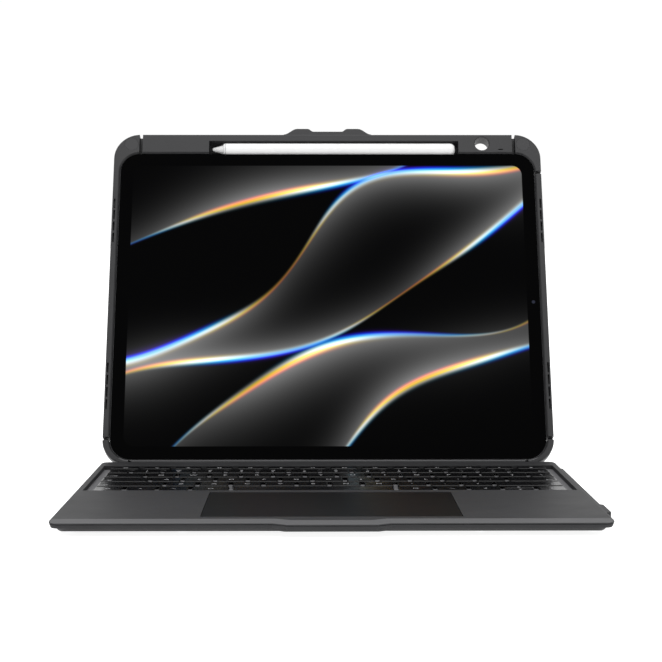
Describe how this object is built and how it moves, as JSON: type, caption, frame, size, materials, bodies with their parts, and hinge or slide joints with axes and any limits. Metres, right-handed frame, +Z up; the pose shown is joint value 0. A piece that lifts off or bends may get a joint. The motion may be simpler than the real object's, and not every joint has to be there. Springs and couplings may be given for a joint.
{
  "type": "tablet keyboard case",
  "caption": "Rugged tablet case on a folding back stand, magnetically docked to a slim keyboard with a trackpad; a channel above the screen holds a stylus.",
  "frame": {"origin": "on the table under the middle of the whole object's box", "axes": "+Z up, keyboard's front edge towards -Y, +X to the user's right"},
  "size_m": [0.2934, 0.3331, 0.2255],
  "materials": {
    "shell": "fine matte moulded texture, charcoal",
    "soft_shell": "dark soft-touch plastic",
    "keycaps": "fine matte, near black",
    "trackpad": "smooth satin",
    "steel_plate": "dark painted sheet steel",
    "film": "clear grey film",
    "guide": "frosted light guide",
    "silicone": "translucent silicone",
    "rubber": "matte rubber",
    "magnet": "nickel plated",
    "screw": "zinc plated",
    "pin": "polished pin steel",
    "cell": "foil pouch",
    "board": "green solder resist",
    "port": "drawn steel",
    "hinge_leaf": "dark coated steel",
    "liner": "microfibre felt",
    "tablet_metal": "bead-blasted, dark anodised",
    "tablet_glass": "polished cover glass over the screen",
    "lens": "polished lens",
    "stylus": "smooth white",
    "nib": "satin white"
  },
  "bodies": {
    "keyboard": {"top_deck": "shell", "bottom_tray": "soft_shell", "key_plate": "steel_plate", "key_membrane": "film", "light_guide": "guide", "rubber_domes": "silicone", "trackpad_bracket": "steel_plate", "trackpad_switch": "port", "batteries": "cell", "main_board": "board", "charge_port": "port", "front_magnets": "magnet", "tray_screws": "screw", "rubber_feet": "rubber", "hinge_pins": "pin"},
    "function_row": {"function_keys": "keycaps"},
    "number_row": {"number_keys": "keycaps"},
    "upper_row": {"upper_letter_keys": "keycaps"},
    "home_row": {"home_keys": "keycaps"},
    "lower_row": {"lower_letter_keys": "keycaps"},
    "modifiers": {"modifier_keys": "keycaps"},
    "space": {"space_bar": "keycaps"},
    "arrows": {"arrow_keys": "keycaps"},
    "trackpad": {"trackpad": "trackpad"},
    "power_slider": {"power_switch": "soft_shell"},
    "dock": {"dock_bar": "soft_shell", "dock_magnets": "magnet"},
    "case": {"back_shell": "shell", "liner_pad": "liner", "top_rail": "shell", "bottom_rail": "shell", "left_rail": "shell", "right_rail": "shell", "top_right_corner": "shell", "bottom_left_corner": "shell", "bottom_right_corner": "shell", "case_magnets": "magnet", "closure_caps": "shell", "closure_magnets": "magnet", "camera_ring": "soft_shell", "stand_hinges": "hinge_leaf", "hinge_screws": "screw", "stand_pins": "pin"},
    "stand": {"stand_panel": "shell", "stand_foot": "rubber"},
    "power_key": {"power_button": "soft_shell"},
    "volume_up_key": {"volume_up": "soft_shell"},
    "volume_down_key": {"volume_down": "soft_shell"},
    "tablet": {"tablet_body": "tablet_metal", "tablet_glass": "tablet_glass", "camera_block": "tablet_metal", "camera_lenses": "lens"},
    "stylus": {"stylus_barrel": "stylus", "stylus_tip": "nib"}
  },
  "joints": [
    {"name": "fold", "type": "hinge", "parent": "keyboard", "child": "dock", "pos_m": [0, 0.06572, 0.0068], "axis": [-1, 0, 0], "range_deg": [-112.7, 12]},
    {"name": "case_release", "type": "slide", "parent": "dock", "child": "case", "axis": [0, 0.3859, 0.9225], "range_m": [0, 0.02]},
    {"name": "stand_fold", "type": "hinge", "parent": "case", "child": "stand", "pos_m": [0, 0.1213, 0.1117], "axis": [1, 0, 0], "range_deg": [-34.58, 70]},
    {"name": "tablet_lift", "type": "slide", "parent": "case", "child": "tablet", "axis": [0, -0.9225, 0.3859], "range_m": [0, 0.03]},
    {"name": "stylus_lift", "type": "slide", "parent": "case", "child": "stylus", "axis": [0, -0.9225, 0.3859], "range_m": [0, 0.03]},
    {"name": "function_row_press", "type": "slide", "parent": "keyboard", "child": "function_row", "axis": [0, 0, -1], "range_m": [0, 0.001], "stiffness_N_per_m": 3000, "deforming": ["rubber_domes"]},
    {"name": "number_row_press", "type": "slide", "parent": "keyboard", "child": "number_row", "axis": [0, 0, -1], "range_m": [0, 0.001], "stiffness_N_per_m": 3000},
    {"name": "upper_row_press", "type": "slide", "parent": "keyboard", "child": "upper_row", "axis": [0, 0, -1], "range_m": [0, 0.001], "stiffness_N_per_m": 3000},
    {"name": "home_row_press", "type": "slide", "parent": "keyboard", "child": "home_row", "axis": [0, 0, -1], "range_m": [0, 0.001], "stiffness_N_per_m": 3000},
    {"name": "lower_row_press", "type": "slide", "parent": "keyboard", "child": "lower_row", "axis": [0, 0, -1], "range_m": [0, 0.001], "stiffness_N_per_m": 3000},
    {"name": "modifiers_press", "type": "slide", "parent": "keyboard", "child": "modifiers", "axis": [0, 0, -1], "range_m": [0, 0.001], "stiffness_N_per_m": 3000},
    {"name": "space_press", "type": "slide", "parent": "keyboard", "child": "space", "axis": [0, 0, -1], "range_m": [0, 0.001], "stiffness_N_per_m": 3000},
    {"name": "arrows_press", "type": "slide", "parent": "keyboard", "child": "arrows", "axis": [0, 0, -1], "range_m": [0, 0.001], "stiffness_N_per_m": 3000},
    {"name": "trackpad_press", "type": "hinge", "parent": "keyboard", "child": "trackpad", "pos_m": [0, -0.06286, 0.0068], "axis": [1, 0, 0], "range_deg": [0, 0.35], "stiffness_Nm_per_rad": 20},
    {"name": "power_slide", "type": "slide", "parent": "keyboard", "child": "power_slider", "axis": [0, 1, 0], "range_m": [0, 0.0025]},
    {"name": "power_press", "type": "slide", "parent": "case", "child": "power_key", "axis": [1, 0, 0], "range_m": [0, 0.0004], "stiffness_N_per_m": 2000},
    {"name": "volume_up_press", "type": "slide", "parent": "case", "child": "volume_up_key", "axis": [0, -0.3859, -0.9225], "range_m": [0, 0.0004], "stiffness_N_per_m": 2000},
    {"name": "volume_down_press", "type": "slide", "parent": "case", "child": "volume_down_key", "axis": [0, -0.3859, -0.9225], "range_m": [0, 0.0004], "stiffness_N_per_m": 2000}
  ]
}
